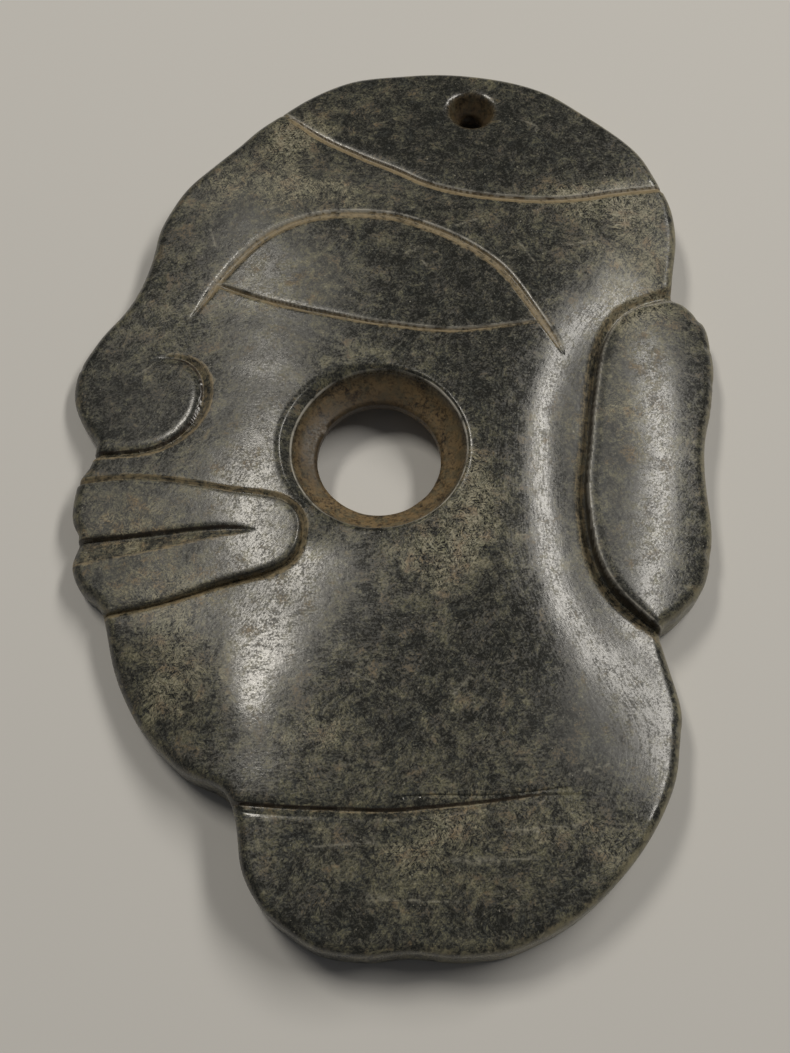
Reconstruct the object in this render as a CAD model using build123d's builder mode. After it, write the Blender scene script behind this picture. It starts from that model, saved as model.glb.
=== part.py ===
"""Jade face pendant: one flat stone carved as a head in profile, with a round hole through its middle.

The stone lies on its back. +Z points out of the carved front, +Y to the crown of the head, the nose is
at -X and the ear at +X. The origin is on the back face, in the middle of the stone's width and height.
"""
import os
from math import sqrt

from build123d import *

# Driving dimensions, in millimetres. The thickness is that of the dome's top, over the middle hole.
width = 62.0
height = 89.6
thickness = 7.0

# How much lower than its top the domed front lies at the nose, at the ear and at both ends
nose_fall = 2.4
ear_fall = 1.6
end_fall = 1.5

# Rounding of the stone's edges, and of the notches in its outline
front_round = 1.5
back_round = 0.9
notch_round = 0.6

# Middle hole: a short straight waist, from which both mouths widen by their spread
hole_x = -1.3
hole_y = 0.1
hole_waist_radius = 5.8
hole_waist_length = 1.0
hole_front_spread = 2.5
hole_back_spread = 1.8
hole_bowl = 0.35

# Shallow bevel that widens the middle hole's front mouth towards the face
flare_left = 0.9
flare_up = 0.25
flare_spread = 0.2
flare_depth = 0.9
flare_width = 1.9

# Cord hole above the forehead
cord_x = 8.1
cord_below_crown = 5.3
cord_waist_radius = 1.2
cord_waist_length = 1.2
cord_spread = 1.0
cord_bowl = 0.1

# Carved grooves: depth, then the width of the steep wall and of the long slope at the surface
cap_depth = 0.9
cap_wall = 0.35
cap_slope = 2.0
lid_depth = 0.4
lid_wall = 0.35
lid_slope = 0.4
nose_depth = 1.0
nose_wall = 0.5
nose_slope = 1.8
lips_depth = 0.9
lips_wall = 0.45
lips_slope = 1.6
mouth_depth = 1.0
mouth_wall = 0.3
mouth_slope = 1.7
jaw_depth = 0.8
jaw_wall = 0.35
jaw_slope = 6.0
ear_depth = 1.7
ear_wall = 0.5
ear_slope = 1.0

# Wide cove between the cheek and the ear: depth, and reach from its middle to each edge
cove_depth = 1.2
cove_reach = 3.4

# Outline, as rows of share across and share up, from the middle of the stone. Each smooth stretch starts
# where the one before it ends, at a corner.
crown_to_nose = [
    (0.454, 0.270),
    (0.432, 0.350),
    (0.368, 0.416),
    (0.238, 0.479),
    (0.055, 0.500),
    (-0.090, 0.483),
    (-0.228, 0.417),
    (-0.345, 0.340),
    (-0.388, 0.263),
    (-0.415, 0.203),
    (-0.473, 0.150),
    (-0.500, 0.098),
    (-0.484, 0.057),
    (-0.451, 0.026),
]
upper_lip = [
    (-0.467, -0.009),
    (-0.480, -0.046),
    (-0.467, -0.080),
]
lower_lip = [
    (-0.474, -0.106),
    (-0.458, -0.141),
    (-0.426, -0.159),
]
chin = [
    (-0.410, -0.198),
    (-0.378, -0.258),
    (-0.313, -0.317),
    (-0.256, -0.340),
    (-0.219, -0.360),
]
neck_to_nape = [
    (-0.208, -0.395),
    (-0.177, -0.455),
    (-0.095, -0.494),
    (0.017, -0.4975),
    (0.110, -0.499),
    (0.234, -0.470),
    (0.337, -0.402),
    (0.393, -0.322),
    (0.403, -0.265),
    (0.382, -0.189),
]
ear = [
    (0.425, -0.164),
    (0.468, -0.100),
    (0.468, 0.002),
    (0.492, 0.080),
    (0.499, 0.140),
    (0.474, 0.185),
    (0.441, 0.198),
]

# Routes of the grooves, as rows of share across, share up and share of the groove's depth. The steep
# wall is on the left of the direction of travel, and a share below zero lifts the end out of the stone.
cap_route = [
    (-0.195, 0.445, 1.6),
    (-0.120, 0.400, 1.0),
    (-0.030, 0.364, 1.0),
    (0.092, 0.325, 1.0),
    (0.221, 0.314, 1.0),
    (0.367, 0.327, 1.0),
    (0.470, 0.338, 1.6),
]
upper_lid_route = [
    (-0.320, 0.156, -0.6),
    (-0.278, 0.208, 0.8),
    (-0.211, 0.260, 1.0),
    (-0.117, 0.288, 1.0),
    (-0.021, 0.290, 1.0),
    (0.075, 0.267, 1.0),
    (0.160, 0.226, 1.0),
    (0.220, 0.165, 0.8),
    (0.268, 0.101, -0.6),
]
lower_lid_route = [
    (0.250, 0.157, -0.6),
    (0.180, 0.146, 0.8),
    (0.088, 0.139, 1.0),
    (-0.035, 0.149, 1.0),
    (-0.175, 0.176, 1.0),
    (-0.262, 0.201, 0.9),
]
nose_route = [
    (-0.500, 0.012, 2.6),
    (-0.435, 0.008, 1.3),
    (-0.377, 0.009, 1.0),
    (-0.315, 0.027, 1.0),
    (-0.290, 0.066, 1.0),
    (-0.300, 0.098, 1.0),
    (-0.335, 0.119, 0.6),
    (-0.395, 0.119, -0.6),
]
lips_route = [
    (-0.520, -0.176, 2.6),
    (-0.420, -0.168, 1.3),
    (-0.352, -0.162, 1.0),
    (-0.247, -0.143, 1.0),
    (-0.158, -0.125, 1.0),
    (-0.133, -0.094, 1.0),
    (-0.150, -0.064, 1.0),
    (-0.224, -0.049, 1.0),
    (-0.344, -0.028, 1.0),
    (-0.440, -0.022, 1.3),
    (-0.520, -0.022, 2.6),
]
mouth_route = [
    (-0.520, -0.090, 2.2),
    (-0.400, -0.089, 1.0),
    (-0.323, -0.087, 0.7),
    (-0.245, -0.086, 0.4),
    (-0.180, -0.090, -0.4),
]
jaw_route = [
    (-0.270, -0.362, 1.1),
    (-0.170, -0.368, 1.0),
    (-0.057, -0.371, 1.0),
    (0.096, -0.366, 1.0),
    (0.197, -0.357, 0.7),
    (0.290, -0.352, -0.5),
]
ear_route = [
    (0.455, 0.200, 1.2),
    (0.403, 0.179, 0.7),
    (0.345, 0.144, 0.75),
    (0.316, 0.077, 0.85),
    (0.301, 0.006, 0.95),
    (0.293, -0.068, 1.0),
    (0.309, -0.131, 1.0),
    (0.359, -0.173, 1.0),
    (0.420, -0.200, 1.2),
]
cove_route = [
    (0.400, 0.240, -0.3),
    (0.345, 0.185, 0.6),
    (0.300, 0.120, 0.9),
    (0.270, 0.040, 1.0),
    (0.262, -0.060, 1.0),
    (0.285, -0.140, 1.0),
    (0.345, -0.200, 1.0),
    (0.400, -0.260, 1.0),
    (0.415, -0.320, 0.9),
    (0.380, -0.395, -0.3),
]


def arc_radius(reach, fall):
    """Radius of an arc that starts level and falls this much over its reach."""
    return (reach**2 + fall**2) / (2 * fall)


nose_side_radius = arc_radius(width / 2, nose_fall)
ear_side_radius = arc_radius(width / 2, ear_fall)
length_radius = arc_radius(height / 2, end_fall)
spin_height = thickness - length_radius
thinnest_rim = thickness - nose_fall
cord_y = height / 2 - cord_below_crown


def fall_across(x):
    """Fall of the domed front at this place across, halfway up the stone."""
    radius = nose_side_radius if x < 0 else ear_side_radius
    return radius - sqrt(radius**2 - x**2)


def front_height(x, y):
    """Height of the domed front above the back face, before any carving."""
    return spin_height + sqrt((length_radius - fall_across(x)) ** 2 - y**2)


def silhouette():
    """Draw the outline, each stretch as a spline from the corner where the one before it ended."""
    with BuildSketch() as outline:
        with BuildLine():
            corner = ear[-1]
            for stretch in (crown_to_nose, upper_lip, lower_lip, chin, neck_to_nape, ear):
                Spline(*[(across * width, up * height) for across, up in [corner, *stretch]])
                corner = stretch[-1]
        make_face()
    return outline.sketch


def dome():
    """Keep what lies under the domed front, an arc across the stone spun about a far axis below it."""
    side = 0.6 * width
    nose_end = (-side, thickness - fall_across(-side))
    nose_middle = (-side / 2, thickness - fall_across(-side / 2))
    top = (0, thickness)
    ear_middle = (side / 2, thickness - fall_across(side / 2))
    ear_end = (side, thickness - fall_across(side))
    with BuildSketch(Plane.XZ) as profile:
        with BuildLine():
            ThreePointArc(nose_end, nose_middle, top)
            ThreePointArc(top, ear_middle, ear_end)
            Polyline(ear_end, (side, -thickness), (-side, -thickness), nose_end)
        make_face()
    revolve(profile.sketch, axis=Axis((0, 0, spin_height), (1, 0, 0)), mode=Mode.INTERSECT)


def hourglass(x, y, waist_radius, waist_length, front_spread, back_spread, bowl):
    """Cut a hole whose two dished mouths meet in a straight waist halfway through the stone."""
    front = front_height(x, y)
    above = front + thickness
    below = -thickness
    back_mouth = (x + waist_radius + back_spread, 0)
    back_dish = (x + waist_radius + back_spread / 2 + bowl, (front - waist_length) / 4)
    waist_low = (x + waist_radius, (front - waist_length) / 2)
    waist_high = (x + waist_radius, (front + waist_length) / 2)
    front_dish = (x + waist_radius + front_spread / 2 + bowl, (3 * front + waist_length) / 4)
    front_mouth = (x + waist_radius + front_spread, front)
    with BuildSketch(Plane.XZ.offset(-y)) as profile:
        with BuildLine():
            Polyline((x, above), (x, below), (back_mouth[0], below), back_mouth)
            ThreePointArc(back_mouth, back_dish, waist_low)
            Line(waist_low, waist_high)
            ThreePointArc(waist_high, front_dish, front_mouth)
            Polyline(front_mouth, (front_mouth[0], above), (x, above))
        make_face()
    revolve(profile.sketch, axis=Axis((x, y, 0), (0, 0, 1)), mode=Mode.SUBTRACT)


def flare():
    """Cut the shallow bevel beside the middle hole's front mouth."""
    x = hole_x - flare_left
    y = hole_y + flare_up
    front = front_height(x, y)
    edge = x + hole_waist_radius + hole_front_spread + flare_spread
    floor = front - flare_depth
    with BuildSketch(Plane.XZ.offset(-y)) as profile:
        with BuildLine():
            Polyline((x, floor), (edge - flare_width, floor), (edge, front))
            Polyline((edge, front), (edge, front + thickness), (x, front + thickness), (x, floor))
        make_face()
    revolve(profile.sketch, axis=Axis((x, y, 0), (0, 0, 1)), mode=Mode.SUBTRACT)


def route_line(route, depth):
    """Spline along the bottom of a groove, and the plane across its start with Y up."""
    points = []
    for across, up, share in route:
        x = across * width
        y = up * height
        points.append((x, y, front_height(x, y) - share * depth))
    with BuildLine() as path:
        Spline(*points)
    along = path.line % 0
    return path.edges()[0], Plane(path.line @ 0, x_dir=(-along.Y, along.X, 0), z_dir=along)


def cut_along(section, bottom):
    """Cut a section along the bottom line of a groove, kept upright all the way."""
    guide = bottom.moved(Location((0, 0, thickness)))
    sweep(section, path=bottom, binormal=guide, mode=Mode.SUBTRACT)


def groove(route, depth, wall, slope):
    """Cut a groove below the domed front, steep on the left of its route and sloping on the right."""
    bottom, across_start = route_line(route, depth)
    with BuildSketch(across_start) as profile:
        with BuildLine():
            Polyline((0, 0), (-2 * slope, 2 * depth), (2 * wall, 2 * depth), close=True)
        make_face()
    cut_along(profile.sketch, bottom)


def cove(route, depth, reach):
    """Cut a wide round-bottomed channel below the domed front."""
    bottom, across_start = route_line(route, depth)
    radius = arc_radius(reach, depth)
    with BuildSketch(across_start) as profile:
        with Locations((0, radius)):
            Circle(radius)
    cut_along(profile.sketch, bottom)


with BuildPart() as pendant:
    extrude(silhouette(), amount=2 * thickness)
    fillet(pendant.edges().filter_by(Axis.Z), notch_round)
    dome()
    walls = pendant.faces().filter_by(lambda face: abs(face.normal_at().Z) < 0.5)
    rims = walls.edges().filter_by(lambda edge: abs((edge % 0.5).Z) < 0.5)
    front_rims = rims.filter_by(lambda edge: edge.center().Z > thinnest_rim / 2)
    fillet(front_rims, min(front_round, thinnest_rim / 3))
    back_rims = pendant.faces().sort_by(Axis.Z)[0].edges()
    fillet(back_rims, min(back_round, thinnest_rim / 4))
    hourglass(
        hole_x, hole_y, hole_waist_radius, hole_waist_length, hole_front_spread, hole_back_spread, hole_bowl
    )
    flare()
    hourglass(cord_x, cord_y, cord_waist_radius, cord_waist_length, cord_spread, cord_spread, cord_bowl)
    groove(cap_route, cap_depth, cap_wall, cap_slope)
    groove(upper_lid_route, lid_depth, lid_wall, lid_slope)
    groove(lower_lid_route, lid_depth, lid_wall, lid_slope)
    groove(nose_route, nose_depth, nose_wall, nose_slope)
    groove(lips_route, lips_depth, lips_wall, lips_slope)
    groove(mouth_route, mouth_depth, mouth_wall, mouth_slope)
    groove(jaw_route, jaw_depth, jaw_wall, jaw_slope)
    cove(cove_route, cove_depth, cove_reach)
    groove(ear_route, ear_depth, ear_wall, ear_slope)

pendant.part.label = "jade_pendant"
os.makedirs("parts", exist_ok=True)
export_step(pendant.part, "parts/jade_pendant.step")
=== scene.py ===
"""Jade face pendant: the carved stone with its finish, on a pale floor under soft light.

The tables give millimetres in the part's own frame: +X to the ear, +Y to the crown, +Z out of the carved
front. The stone is shaped in millimetres and brought to metres when its mesh is done.
"""

from math import cos, pi, radians, sin

import bmesh
import bpy
import numpy as np
from mathutils import Matrix, Vector, noise
from mathutils.kdtree import KDTree


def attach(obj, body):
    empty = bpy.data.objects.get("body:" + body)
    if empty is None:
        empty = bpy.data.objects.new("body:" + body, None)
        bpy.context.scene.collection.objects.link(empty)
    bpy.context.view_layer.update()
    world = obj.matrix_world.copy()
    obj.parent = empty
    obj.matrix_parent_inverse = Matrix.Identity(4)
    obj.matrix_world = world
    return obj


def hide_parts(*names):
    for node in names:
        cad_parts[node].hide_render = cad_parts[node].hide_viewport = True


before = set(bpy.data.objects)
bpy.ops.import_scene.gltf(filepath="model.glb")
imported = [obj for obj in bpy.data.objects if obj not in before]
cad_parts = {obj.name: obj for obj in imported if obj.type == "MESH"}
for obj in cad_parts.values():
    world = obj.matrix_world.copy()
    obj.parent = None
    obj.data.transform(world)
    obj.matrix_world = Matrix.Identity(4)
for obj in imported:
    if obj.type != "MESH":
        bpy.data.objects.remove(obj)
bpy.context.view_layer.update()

# The stone's box, and how much lower than its top the domed front lies at the nose, the ear and both ends
WIDTH = 62.0
HEIGHT = 89.6
THICKNESS = 6.95
NOSE_FALL = 0.4
EAR_FALL = 1.2
END_FALL = 1.5

# Rounding of the edges, and the turn between two faces from which their edge is shaded as a sharp one
FRONT_ROUND = 0.9
BACK_ROUND = 0.9
SHARP_TURN = radians(66)

# Middle hole: its mouths, the straight waist between them with the heights of its ends, and how hollow the
# walls in front of the waist and behind it are
HOLE = (-1.3, 0.1)
HOLE_MOUTH = 8.35
HOLE_BACK = 7.6
HOLE_WAIST = 5.8
WAIST_TOP = 4.0
WAIST_END = 3.0
FRONT_HOLLOW = 0.45
BACK_HOLLOW = 0.35

# Bevel that widens the middle hole's front mouth towards the face: a circle set off to that side, how wide
# the bend is where it meets the mouth, the radius of the bevel's foot, its least width and its slope
FLARE_SHIFT = (-0.75, 0.2)
FLARE_RADIUS = 8.3
FLARE_BEND = 0.12
FLARE_INNER = 8.15
LEAST_FLARE = 0.03
FLARE_SLOPE = 0.75

# Cord hole above the forehead: its mouths, its waist, the heights of its edge and of the waist's ends, and
# how hollow its walls are
CORD = (8.1, 39.5)
CORD_MOUTH = 2.2
CORD_WAIST = 1.2
CORD_EDGE = 5.15
CORD_WAIST_TOP = 3.4
CORD_WAIST_END = 2.3
CORD_HOLLOW = 0.12

# Depth and reach of the front's roll down to a hole: at the middle hole's plain mouth, beside its bevel where
# that has at least the full width given here, and at the cord hole
PLAIN_ROLL = (0.05, 0.35)
FLARE_ROLL = (0.11, 0.6)
FULL_FLARE = 0.6
CORD_ROLL = (0.3, 0.8)

# Spacing of the plan's grid and how far it reaches past the stone's edges
GRID = 0.5
MARGIN = 1.0

# Where the grid is halved: this near to the outline, to the middle hole's edge, to the steep of the cove and
# to a scratch, and this far beyond a groove's wall and its slope, once and then twice
RIM_BAND = 1.9
HOLE_BAND = 0.8
COVE_BAND = 2.6
SCRATCH_BAND = 0.18
WALL_BANDS = (1.2, 0.4)
SLOPE_BANDS = (0.3, 0.15)

# How far in from the outline, and out from each hole's mouth, the front's own mesh ends
RIM_START = 0.25
HOLE_START = 0.12
CORD_START = 0.1

# Within these distances of their middles, what lies on the plan belongs to the holes' mouths
HOLE_REACH = 11.0
CORD_REACH = 3.4

# Outline in smooth stretches, each from the corner where the one before it ends
CROWN_TO_NOSE = [
    (27.6, 20.3), (28.1, 23.2), (28.2, 25.5), (27.9, 28.2), (27.3, 30.0), (26.4, 32.2), (25.8, 33.6),
    (23.9, 36.1), (21.5, 38.3), (19.1, 40.2), (16.6, 42.1), (13.1, 43.6), (8.9, 44.5), (3.8, 44.8),
    (0.6, 44.5), (-4.1, 43.8), (-7.1, 42.5), (-9.2, 41.2), (-11.7, 39.3), (-14.2, 37.3), (-15.6, 35.8),
    (-17.1, 34.4), (-19.0, 32.7), (-20.9, 30.9), (-22.5, 28.5), (-23.6, 26.1), (-24.0, 23.7),
    (-24.5, 21.4), (-25.5, 18.7), (-26.8, 16.6), (-28.3, 14.9), (-29.6, 13.0), (-30.6, 11.1),
    (-31.0, 9.2), (-30.8, 7.1), (-29.9, 5.0), (-28.7, 3.2), (-28.0, 2.4),
]
UPPER_LIP = [
    (-28.2, 1.1), (-28.6, -0.4), (-29.3, -1.4), (-29.7, -3.0), (-29.8, -4.9), (-29.5, -6.2), (-28.9, -7.1),
]
LOWER_LIP = [(-29.1, -8.3), (-29.4, -9.8), (-29.1, -11.2), (-28.3, -12.6), (-27.3, -13.4), (-26.4, -14.2)]
CHIN = [
    (-25.9, -15.6), (-25.3, -18.0), (-24.6, -20.5), (-23.4, -23.1), (-21.8, -25.7), (-19.9, -27.8),
    (-18.2, -29.3), (-16.1, -30.4), (-14.1, -31.5), (-13.6, -32.3),
]
NECK_TO_NAPE = [
    (-13.1, -33.9), (-12.8, -35.9), (-12.5, -37.7), (-11.7, -39.5), (-10.4, -41.3), (-8.8, -42.6),
    (-5.9, -44.3), (-3.7, -44.7), (-1.5, -44.8), (1.1, -44.5), (2.8, -44.6), (5.0, -44.8), (7.2, -44.7),
    (9.4, -44.4), (12.0, -43.4), (14.5, -42.1), (16.8, -40.4), (19.1, -38.2), (20.9, -36.0),
    (22.2, -34.0), (23.4, -31.7), (24.2, -29.4), (24.6, -27.1), (25.0, -24.7), (24.9, -23.3),
    (24.5, -21.3), (24.0, -19.1), (23.6, -17.4),
]
EAR = [
    (24.0, -16.5), (24.9, -16.0), (26.1, -14.9), (27.3, -13.7), (28.3, -11.9), (28.9, -9.5),
    (29.2, -7.1), (29.1, -4.6), (29.0, -2.1), (29.1, 0.4), (29.5, 2.7), (30.1, 4.8), (30.6, 7.4),
    (31.0, 10.1), (30.9, 12.8), (30.6, 15.0), (29.4, 16.5), (28.2, 17.5), (27.3, 17.7),
]

# Grooves as rows of x, y, depth and the width of the long slope on the right of the route. The steep wall
# is on its left. Each groove also has the half width of its flat floor, the width of its wall, how hollow
# its slope is, and how far and how deep the surface rolls down to the wall. The last five say how much
# brown dirt and painted shade its wall holds, how much tan dust lies on its floor, on its slope and along
# its outer edge, and how bright the painted glint is along the edge above its wall.
GROOVES = {
    "cap": {
        "route": [
            (-13.0, 40.6, 0.08, 0.3), (-9.4, 37.5, 0.18, 0.35), (-7.5, 35.9, 0.26, 0.4),
            (-4.4, 34.0, 0.32, 0.42), (-1.8, 32.6, 0.34, 0.42), (0.7, 31.35, 0.34, 0.42),
            (2.7, 30.2, 0.34, 0.42), (5.7, 29.1, 0.34, 0.42), (9.7, 28.35, 0.34, 0.42),
            (13.7, 28.05, 0.34, 0.42), (16.7, 28.15, 0.36, 0.45), (19.7, 28.6, 0.38, 0.45),
            (22.8, 29.3, 0.36, 0.45), (25.7, 29.8, 0.32, 0.45), (29.5, 30.6, 0.25, 0.4),
        ],
        "floor": 0.1, "wall": 0.18, "hollow": 1.0, "roll": 0.9, "sink": 0.1,
        "dirt_and_shade": 0.7, "dust": 0.95, "tint": 0.9, "crest": 0.3, "edge_glint": 0.5,
    },
    "upper_lid": {
        "route": [
            (-19.8, 14.9, 0.0, 0.1), (-18.7, 16.3, 0.12, 0.15), (-17.2, 18.6, 0.26, 0.25),
            (-15.4, 20.9, 0.3, 0.3), (-13.1, 23.2, 0.32, 0.32), (-10.2, 24.9, 0.32, 0.32),
            (-7.2, 25.8, 0.32, 0.32), (-4.3, 26.05, 0.32, 0.32), (-1.3, 25.9, 0.32, 0.32),
            (0.7, 25.5, 0.32, 0.32), (2.7, 24.75, 0.32, 0.32), (5.6, 23.4, 0.32, 0.32),
            (8.5, 21.5, 0.32, 0.3), (10.9, 19.2, 0.32, 0.3), (12.7, 16.4, 0.3, 0.28),
            (14.5, 13.25, 0.24, 0.22), (15.9, 10.8, 0.12, 0.12), (16.3, 10.0, 0.0, 0.1),
        ],
        "floor": 0.22, "wall": 0.18, "hollow": 1.0, "roll": 0.4, "sink": 0.05,
        "dirt_and_shade": 0.1, "dust": 0.8, "tint": 0.7, "crest": 0.5, "edge_glint": 0.7,
    },
    "lower_lid": {
        "route": [
            (-17.4, 18.6, 0.1, 0.15), (-16.75, 18.35, 0.26, 0.25), (-13.8, 16.95, 0.36, 0.3),
            (-10.9, 15.8, 0.36, 0.32), (-7.0, 14.6, 0.34, 0.32), (-5.1, 14.1, 0.32, 0.3),
            (-2.2, 13.4, 0.3, 0.28), (0.7, 12.95, 0.28, 0.26), (2.6, 12.65, 0.25, 0.24),
            (5.4, 12.45, 0.23, 0.22), (8.3, 12.65, 0.2, 0.2), (11.2, 13.1, 0.15, 0.18),
            (13.6, 13.6, 0.08, 0.12), (14.2, 13.8, 0.0, 0.1),
        ],
        "floor": 0.08, "wall": 0.16, "hollow": 1.0, "roll": 0.5, "sink": 0.05,
        "dirt_and_shade": 0.6, "dust": 0.8, "tint": 0.7, "crest": 0.45, "edge_glint": 0.45,
    },
    "nose": {
        "route": [
            (-31.5, 0.9, 0.8, 0.5), (-27.3, 0.9, 0.6, 0.5), (-25.7, 0.8, 0.52, 0.5),
            (-23.4, 0.8, 0.5, 0.5), (-21.3, 1.3, 0.5, 0.55), (-19.55, 2.5, 0.51, 0.7),
            (-18.5, 4.0, 0.51, 0.85), (-18.0, 5.9, 0.5, 0.9), (-18.1, 7.8, 0.42, 0.85),
            (-19.0, 9.6, 0.3, 0.6), (-20.8, 10.7, 0.18, 0.4), (-22.3, 10.9, 0.08, 0.25),
            (-23.0, 10.95, 0, 0.15),
        ],
        "floor": 0.04, "wall": 0.22, "hollow": 1.3, "roll": 0.85, "sink": 0.2,
        "dirt_and_shade": 0.8, "dust": 0.5, "tint": 0.55, "crest": 0.75, "edge_glint": 0.0,
    },
    "lips": {
        "route": [
            (-32.0, -15.6, 0.66, 0.4), (-25.75, -15.0, 0.4, 0.4), (-21.8, -14.5, 0.33, 0.4),
            (-18.8, -13.8, 0.33, 0.4), (-15.3, -12.8, 0.34, 0.45), (-11.8, -12.0, 0.36, 0.55),
            (-9.8, -11.2, 0.36, 0.65), (-8.75, -10.1, 0.36, 0.65), (-8.25, -8.4, 0.33, 0.6),
            (-8.4, -6.9, 0.32, 0.5), (-9.3, -5.7, 0.3, 0.45), (-11.2, -4.85, 0.28, 0.4),
            (-13.9, -4.35, 0.28, 0.4), (-17.6, -3.45, 0.28, 0.4), (-21.3, -2.55, 0.28, 0.4),
            (-24.5, -2.05, 0.3, 0.4), (-28.2, -2.0, 0.4, 0.4), (-33.0, -2.0, 0.66, 0.4),
        ],
        "floor": 0.03, "wall": 0.16, "hollow": 1.0, "roll": 0.45, "sink": 0.04,
        "dirt_and_shade": 0.5, "dust": 0.4, "tint": 0.7, "crest": 0.6, "edge_glint": 0.15,
    },
    "mouth": {
        "route": [
            (-33.0, -8.0, 0.85, 2.3), (-28.2, -8.0, 0.75, 2.1), (-24.1, -7.95, 0.62, 1.7),
            (-20.05, -7.85, 0.48, 1.3), (-16.5, -7.8, 0.32, 0.85), (-13.5, -8.0, 0.16, 0.4),
            (-12.2, -8.15, 0.0, 0.1),
        ],
        "floor": 0.08, "wall": 0.22, "hollow": 1.0, "roll": 0.5, "sink": 0.06,
        "dirt_and_shade": 0.8, "dust": 0.1, "tint": 0.4, "crest": 0.65, "edge_glint": 0.0,
    },
    "jaw": {
        "route": [
            (-17.5, -32.2, 0.6, 0.64), (-13.3, -32.6, 0.48, 0.64), (-10.5, -32.9, 0.44, 0.7),
            (-7.65, -33.1, 0.42, 0.7), (-3.5, -33.25, 0.4, 0.7), (0.6, -33.3, 0.38, 0.7),
            (2.25, -33.15, 0.35, 0.7), (6.0, -32.8, 0.3, 0.7), (9.3, -32.4, 0.22, 0.64),
            (12.2, -32.0, 0.13, 0.56), (15.1, -31.9, 0.05, 0.4), (17.0, -31.8, 0.0, 0.32),
        ],
        "floor": 0.04, "wall": 0.2, "hollow": 1.4, "roll": 0.8, "sink": 0.09,
        "dirt_and_shade": 0.85, "dust": 0.6, "tint": 0.15, "crest": 0.0, "edge_glint": 0.0,
    },
    "jaw_scratch": {
        "route": [
            (-0.5, -32.25, 0.0, 0.1), (1.0, -32.1, 0.07, 0.12), (4.0, -31.95, 0.1, 0.12),
            (7.2, -32.0, 0.1, 0.12), (10.5, -31.75, 0.1, 0.12), (13.5, -31.4, 0.08, 0.12),
            (15.0, -31.2, 0.0, 0.1),
        ],
        "floor": 0.0, "wall": 0.1, "hollow": 1.0, "roll": 0.3, "sink": 0.0,
        "dirt_and_shade": 0.0, "dust": 0.7, "tint": 0.5, "crest": 0.0, "edge_glint": 0.0,
    },
    "ear": {
        "route": [
            (30.5, 18.6, 2.0, 0.7), (27.6, 17.7, 1.6, 0.7), (25.0, 16.75, 1.4, 0.7),
            (22.5, 15.4, 1.5, 0.7), (20.75, 13.25, 1.6, 0.7), (19.6, 10.35, 1.7, 0.7),
            (18.95, 7.0, 1.75, 0.75), (18.4, 3.75, 1.75, 0.75), (18.0, 0.6, 1.75, 0.75),
            (17.55, -2.6, 1.75, 0.75), (17.5, -6.1, 1.8, 0.75), (17.8, -9.2, 1.85, 0.8),
            (18.65, -12.05, 1.85, 0.8), (20.15, -14.35, 1.85, 0.75), (22.0, -16.1, 1.85, 0.7),
            (23.6, -17.4, 1.85, 0.6), (27.0, -19.8, 2.0, 0.6),
        ],
        "floor": 0.06, "wall": 0.26, "hollow": 1.2, "roll": 0.9, "sink": 0.16,
        "dirt_and_shade": 0.7, "dust": 0.4, "tint": 0.55, "crest": 0.6, "edge_glint": 0.6,
    },
}
# Depth from which a groove has its full width, and the least widths of its wall and its slope
FULL_DEPTH = 0.25
LEAST_WALL = 0.02
LEAST_SLOPE = 0.05

# Crest of the ridge before the ear, from the temple down to the nape, as x, y, share of the cove's depth and
# how much broader than the cove's table the stone turns down there
RIDGE = [
    (23.2, 22.6, 0.0, 1.2), (22.6, 21.4, 0.25, 1.2), (21.6, 19.5, 0.6, 1.1), (19.0, 16.1, 0.9, 1.0),
    (16.9, 12.7, 1.0, 1.0), (14.8, 8.3, 1.0, 1.0), (13.7, 4.1, 1.0, 1.0), (13.4, 0.0, 1.0, 1.0),
    (13.2, -3.1, 1.0, 1.0), (13.1, -7.1, 1.0, 1.05), (13.4, -11.0, 1.0, 1.1), (14.2, -14.3, 1.0, 1.15),
    (15.3, -17.4, 1.0, 1.25), (16.7, -20.6, 1.0, 1.4), (18.5, -24.0, 0.95, 1.5), (19.7, -27.2, 0.65, 1.45),
    (19.3, -30.0, 0.25, 1.3), (18.3, -32.8, 0.0, 1.2),
]
# How deep the stone lies beside that crest: distance towards the ear, depth
COVE = [
    (-5.0, 0.0), (-4.0, 0.015), (-3.0, 0.055), (-2.0, 0.125), (-1.0, 0.235), (0.0, 0.395), (1.0, 0.61),
    (2.0, 0.895), (3.0, 1.22), (4.0, 1.52), (5.0, 1.68), (8.0, 1.7), (12.0, 1.6),
]

# Middles of the folds where the stone turns down towards the nose, as x, y, share of the turn and how gently
# it turns there: one runs down the face to the lips, the other from the lips down the cheek
FACE_FOLD = [
    (-9.0, 46.0, 0.6, 2.0), (-12.0, 34.0, 0.85, 2.2), (-13.6, 27.0, 1.25, 2.4), (-12.2, 22.0, 1.25, 2.8),
    (-10.7, 17.0, 1.1, 3.6), (-10.4, 12.4, 1.1, 3.6), (-10.8, 6.9, 1.1, 3.1), (-11.6, 1.7, 1.05, 2.5),
    (-12.2, -3.4, 1.0, 2.0), (-11.4, -8.5, 1.0, 2.0), (-11.0, -13.0, 1.0, 2.0), (-11.0, -20.0, 1.0, 2.0),
]
CHEEK_FOLD = [
    (1.5, -2.0, 0.25, 2.0), (-0.5, -6.0, 0.5, 2.0), (-2.4, -9.0, 0.9, 2.2), (-5.0, -12.1, 1.2, 2.6),
    (-8.8, -15.8, 1.4, 2.8), (-11.6, -19.2, 1.5, 2.6), (-12.7, -22.5, 1.6, 2.2), (-12.8, -26.0, 1.65, 2.0),
    (-12.6, -33.0, 1.4, 2.0), (-12.6, -46.0, 1.1, 2.0),
]
FOLD_TURN = 0.19
# Between these places up the stone, the one fold gives way to the other beside the lips
FOLD_CHANGE = (-11.5, -4.5)

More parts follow.
